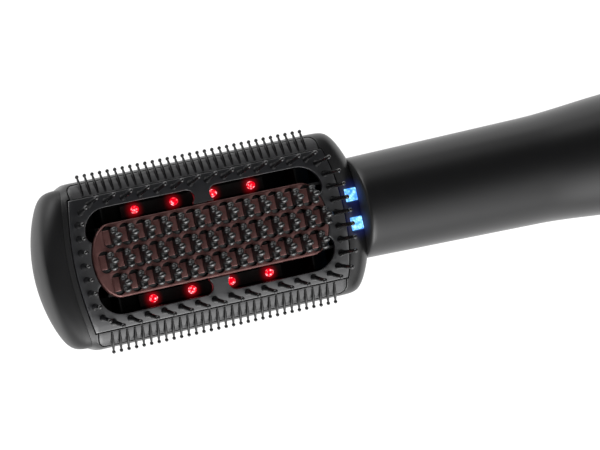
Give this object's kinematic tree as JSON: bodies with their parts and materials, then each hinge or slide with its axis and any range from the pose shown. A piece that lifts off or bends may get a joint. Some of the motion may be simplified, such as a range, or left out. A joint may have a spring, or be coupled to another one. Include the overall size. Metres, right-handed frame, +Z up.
{
  "type": "hot air brush",
  "caption": "Paddle hot air brush: heated plate with nubs, ring of pins, side combs and infrared lamps on a round handle with a fan, buttons and a cord gland.",
  "frame": {"origin": "middle of the box's underside: the brush lies on its back, on the flat of the head and the widest ring of the grip", "axes": "+X along the brush from the head's tip to the cord end, +Y across the head, +Z up out of the bristle face"},
  "size_m": [0.3522, 0.0754, 0.056],
  "materials": {
    "soft_black": "satin soft-touch black",
    "panel_grey": "satin blue-grey",
    "comb_black": "satin black",
    "rose_brown": "satin rose-brown ceramic coat",
    "gloss_black": "gloss black",
    "lamp_red": "lit red lens",
    "ion_blue": "lit blue lens",
    "board_green": "solder-masked board",
    "moulded_black": "matt moulded black",
    "mica_tan": "matt mica",
    "wire_steel": "drawn steel",
    "brass_part": "plain brass",
    "white_moulding": "matt white"
  },
  "bodies": {
    "body": {"head_shell": "soft_black", "end_cap": "soft_black", "front_panel": "panel_grey", "comb_strip_left": "comb_black", "comb_strip_right": "comb_black", "heated_plate": "rose_brown", "centre_bristles": "gloss_black", "air_guide": "moulded_black", "lamp_tray_left": "moulded_black", "lamp_tray_right": "moulded_black", "lamp_board_left": "board_green", "lamp_board_right": "board_green", "infrared_lamp_left_1": "lamp_red", "infrared_lamp_left_2": "lamp_red", "infrared_lamp_left_3": "lamp_red", "infrared_lamp_left_4": "lamp_red", "infrared_lamp_right_1": "lamp_red", "infrared_lamp_right_2": "lamp_red", "infrared_lamp_right_3": "lamp_red", "infrared_lamp_right_4": "lamp_red", "ion_board": "board_green", "ion_window_left": "ion_blue", "ion_window_right": "ion_blue", "ion_needle_left": "brass_part", "ion_needle_right": "brass_part", "ion_generator": "moulded_black", "handle_shell": "soft_black", "neck_coupler": "moulded_black", "heater_tube": "mica_tan", "heater_frame": "mica_tan", "heating_coil": "wire_steel", "thermostat": "white_moulding", "thermal_fuse": "white_moulding", "motor_holder": "moulded_black", "fan_motor": "wire_steel", "control_plate": "gloss_black", "control_board": "board_green", "power_switch": "moulded_black", "cool_shot_switch": "moulded_black", "slide_switch": "wire_steel", "rear_cap": "soft_black", "filter_screen": "wire_steel", "cord_clamp": "moulded_black"},
    "power_button": {"power_button": "soft_black"},
    "cool_shot_button": {"cool_shot_button": "soft_black"},
    "mode_slider": {"mode_slider": "soft_black"},
    "fan_rotor": {"motor_shaft": "wire_steel", "impeller": "moulded_black"},
    "cord_gland": {"cord_gland": "comb_black"}
  },
  "joints": [
    {"name": "power_button_press", "type": "slide", "parent": "body", "child": "power_button", "axis": [0, 0, -1], "range_m": [0, 0.0008], "stiffness_N_per_m": 600},
    {"name": "cool_shot_button_press", "type": "slide", "parent": "body", "child": "cool_shot_button", "axis": [0, 0, -1], "range_m": [0, 0.0008], "stiffness_N_per_m": 600},
    {"name": "mode_slide", "type": "slide", "parent": "body", "child": "mode_slider", "axis": [1, 0, 0], "range_m": [0, 0.004]},
    {"name": "fan_spin", "type": "hinge", "parent": "body", "child": "fan_rotor", "pos_m": [0.1, 0, 0.027], "axis": [1, 0, 0], "continuous": true},
    {"name": "gland_swivel", "type": "hinge", "parent": "body", "child": "cord_gland", "pos_m": [0.1725, 0, 0.027], "axis": [1, 0, 0], "continuous": true}
  ]
}
